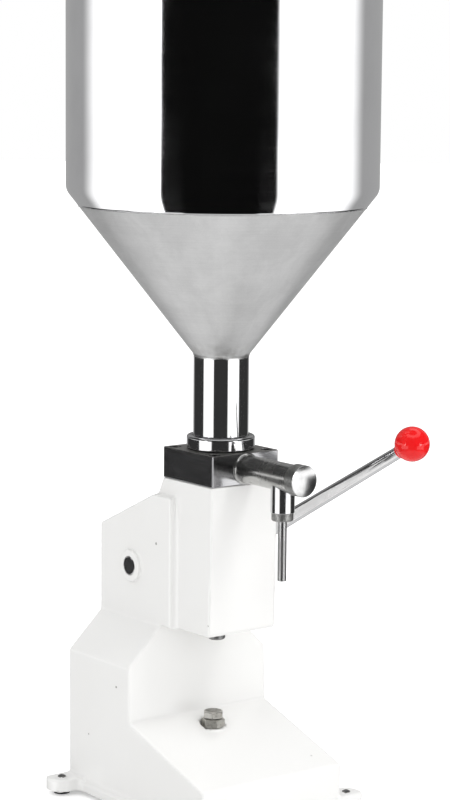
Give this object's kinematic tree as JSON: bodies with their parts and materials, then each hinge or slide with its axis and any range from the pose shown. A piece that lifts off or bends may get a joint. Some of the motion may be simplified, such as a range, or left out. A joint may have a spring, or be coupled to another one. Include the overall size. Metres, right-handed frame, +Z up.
{
  "type": "piston liquid filler",
  "caption": "Hand-lever piston filler: open conical steel hopper over a valve block with side spout and drop nozzle, on a painted casting with a sloped foot and a screw volume stop.",
  "frame": {"origin": "centre of the footprint box on the floor plane", "axes": "+Z up, -Y towards the nozzle (the operator's side), +X to the right of someone facing +Y; the hand lever is on the +X side"},
  "size_m": [0.2858, 0.331, 0.7797],
  "materials": {
    "casting_paint": "glossy warm white enamel on a cast body, softened edges, small chips",
    "hopper_steel": "mirror-polished cylinder, circumferentially satin-brushed cone",
    "polished_steel": "turned and polished stainless steel with fine turning lines",
    "chrome": "bright plated",
    "block_steel": "ground stainless block, polished sides",
    "stainless": "plain stainless",
    "machined_steel": "zinc-dull machined steel with worn corners",
    "screw_steel": "blackened steel",
    "bronze": "sintered bronze",
    "seal": "matt off-white seal ring",
    "foot_rubber": "matt black rubber",
    "knob_red": "glossy red moulded ball"
  },
  "bodies": {
    "stand": {"body_casting": "casting_paint", "rear_cover": "casting_paint", "cover_screw_1": "screw_steel", "cover_screw_2": "screw_steel", "cover_screw_3": "screw_steel", "cover_screw_4": "screw_steel", "foot_fl": "foot_rubber", "foot_fr": "foot_rubber", "foot_rl": "foot_rubber", "foot_rr": "foot_rubber", "foot_screw_fl": "screw_steel", "foot_screw_fr": "screw_steel", "foot_screw_rl": "screw_steel", "foot_screw_rr": "screw_steel", "cylinder_liner": "stainless", "guide_bush": "bronze", "shaft_bush_left": "bronze", "shaft_bush_right": "bronze", "valve_block": "block_steel", "block_screw_1": "screw_steel", "block_screw_2": "screw_steel", "block_screw_3": "screw_steel", "block_screw_4": "screw_steel", "inlet_spring": "stainless", "inlet_retainer": "stainless", "spout_tube": "polished_steel", "spout_cap": "polished_steel", "outlet_spring": "stainless", "nozzle_collar": "polished_steel", "nozzle_tube": "polished_steel", "hopper": "hopper_steel", "neck_ring": "polished_steel", "neck_gasket": "foot_rubber", "lock_nut": "machined_steel"},
    "lever": {"lever_shaft": "polished_steel", "crank_arm": "machined_steel", "arm_set_screw": "screw_steel", "lever_hub": "chrome", "lever_hub_screw": "screw_steel", "lever_rod": "chrome", "ball_knob": "knob_red"},
    "piston": {"piston_body": "stainless", "piston_seal_lower": "seal", "piston_seal_upper": "seal", "piston_rod": "polished_steel", "cross_pin": "screw_steel"},
    "volume_stop": {"stop_bolt": "machined_steel"},
    "inlet_valve": {"inlet_ball": "polished_steel"},
    "outlet_valve": {"outlet_ball": "polished_steel"}
  },
  "joints": [
    {"name": "lever_swing", "type": "hinge", "parent": "stand", "child": "lever", "pos_m": [0, 0.1006, 0.2195], "axis": [1, 0, 0], "range_deg": [0, 30]},
    {"name": "piston_stroke", "type": "slide", "parent": "stand", "child": "piston", "axis": [0, 0, -1], "range_m": [0, 0.0401]},
    {"name": "stop_bolt_height", "type": "slide", "parent": "stand", "child": "volume_stop", "axis": [0, 0, 1], "range_m": [0, 0.025]},
    {"name": "inlet_ball_lift", "type": "slide", "parent": "stand", "child": "inlet_valve", "axis": [0, 0, -1], "range_m": [0, 0.0025], "deforming": ["inlet_spring"]},
    {"name": "outlet_ball_lift", "type": "slide", "parent": "stand", "child": "outlet_valve", "axis": [0, -1, 0], "range_m": [0, 0.003], "deforming": ["outlet_spring"]}
  ],
  "couplings": [
    {"joint": "piston_stroke", "follows": "lever_swing", "m_per_rad": 0.07639}
  ]
}
